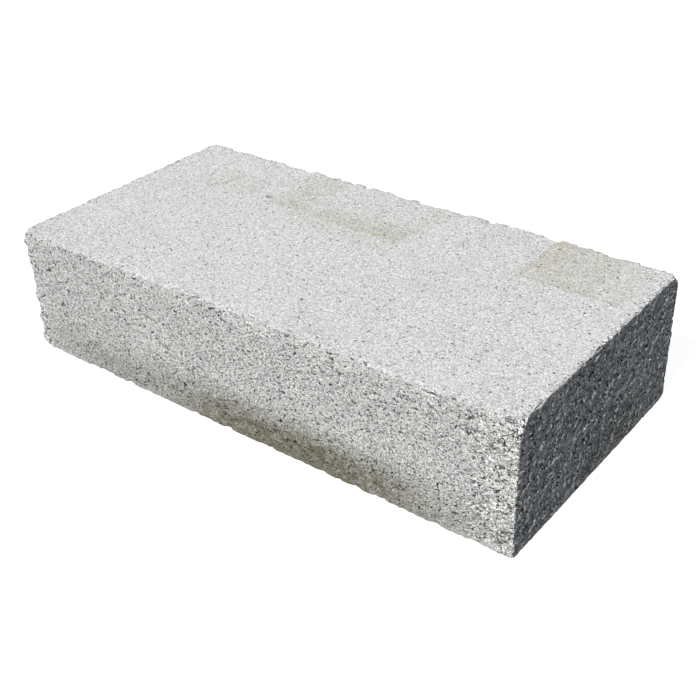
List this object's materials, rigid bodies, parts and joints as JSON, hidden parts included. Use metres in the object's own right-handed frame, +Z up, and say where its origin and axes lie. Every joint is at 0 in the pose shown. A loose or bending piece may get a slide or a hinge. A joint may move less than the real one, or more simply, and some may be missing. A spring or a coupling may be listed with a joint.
{
  "type": "solid concrete block",
  "caption": "Solid rectangular concrete building block with worn arrises and broken corners, laid in mortar or dry to build walls, piers and footings.",
  "frame": {"origin": "middle of the lower bed face, on the surface that the block lies on", "axes": "+X along the block's length, +Y through its width, away from the long face in view, +Z up, from the lower bed face to the upper one"},
  "size_m": [0.397, 0.194, 0.092],
  "materials": {
    "concrete": "matte"
  },
  "bodies": {
    "root": {"concrete_block": "concrete"}
  },
  "joints": []
}
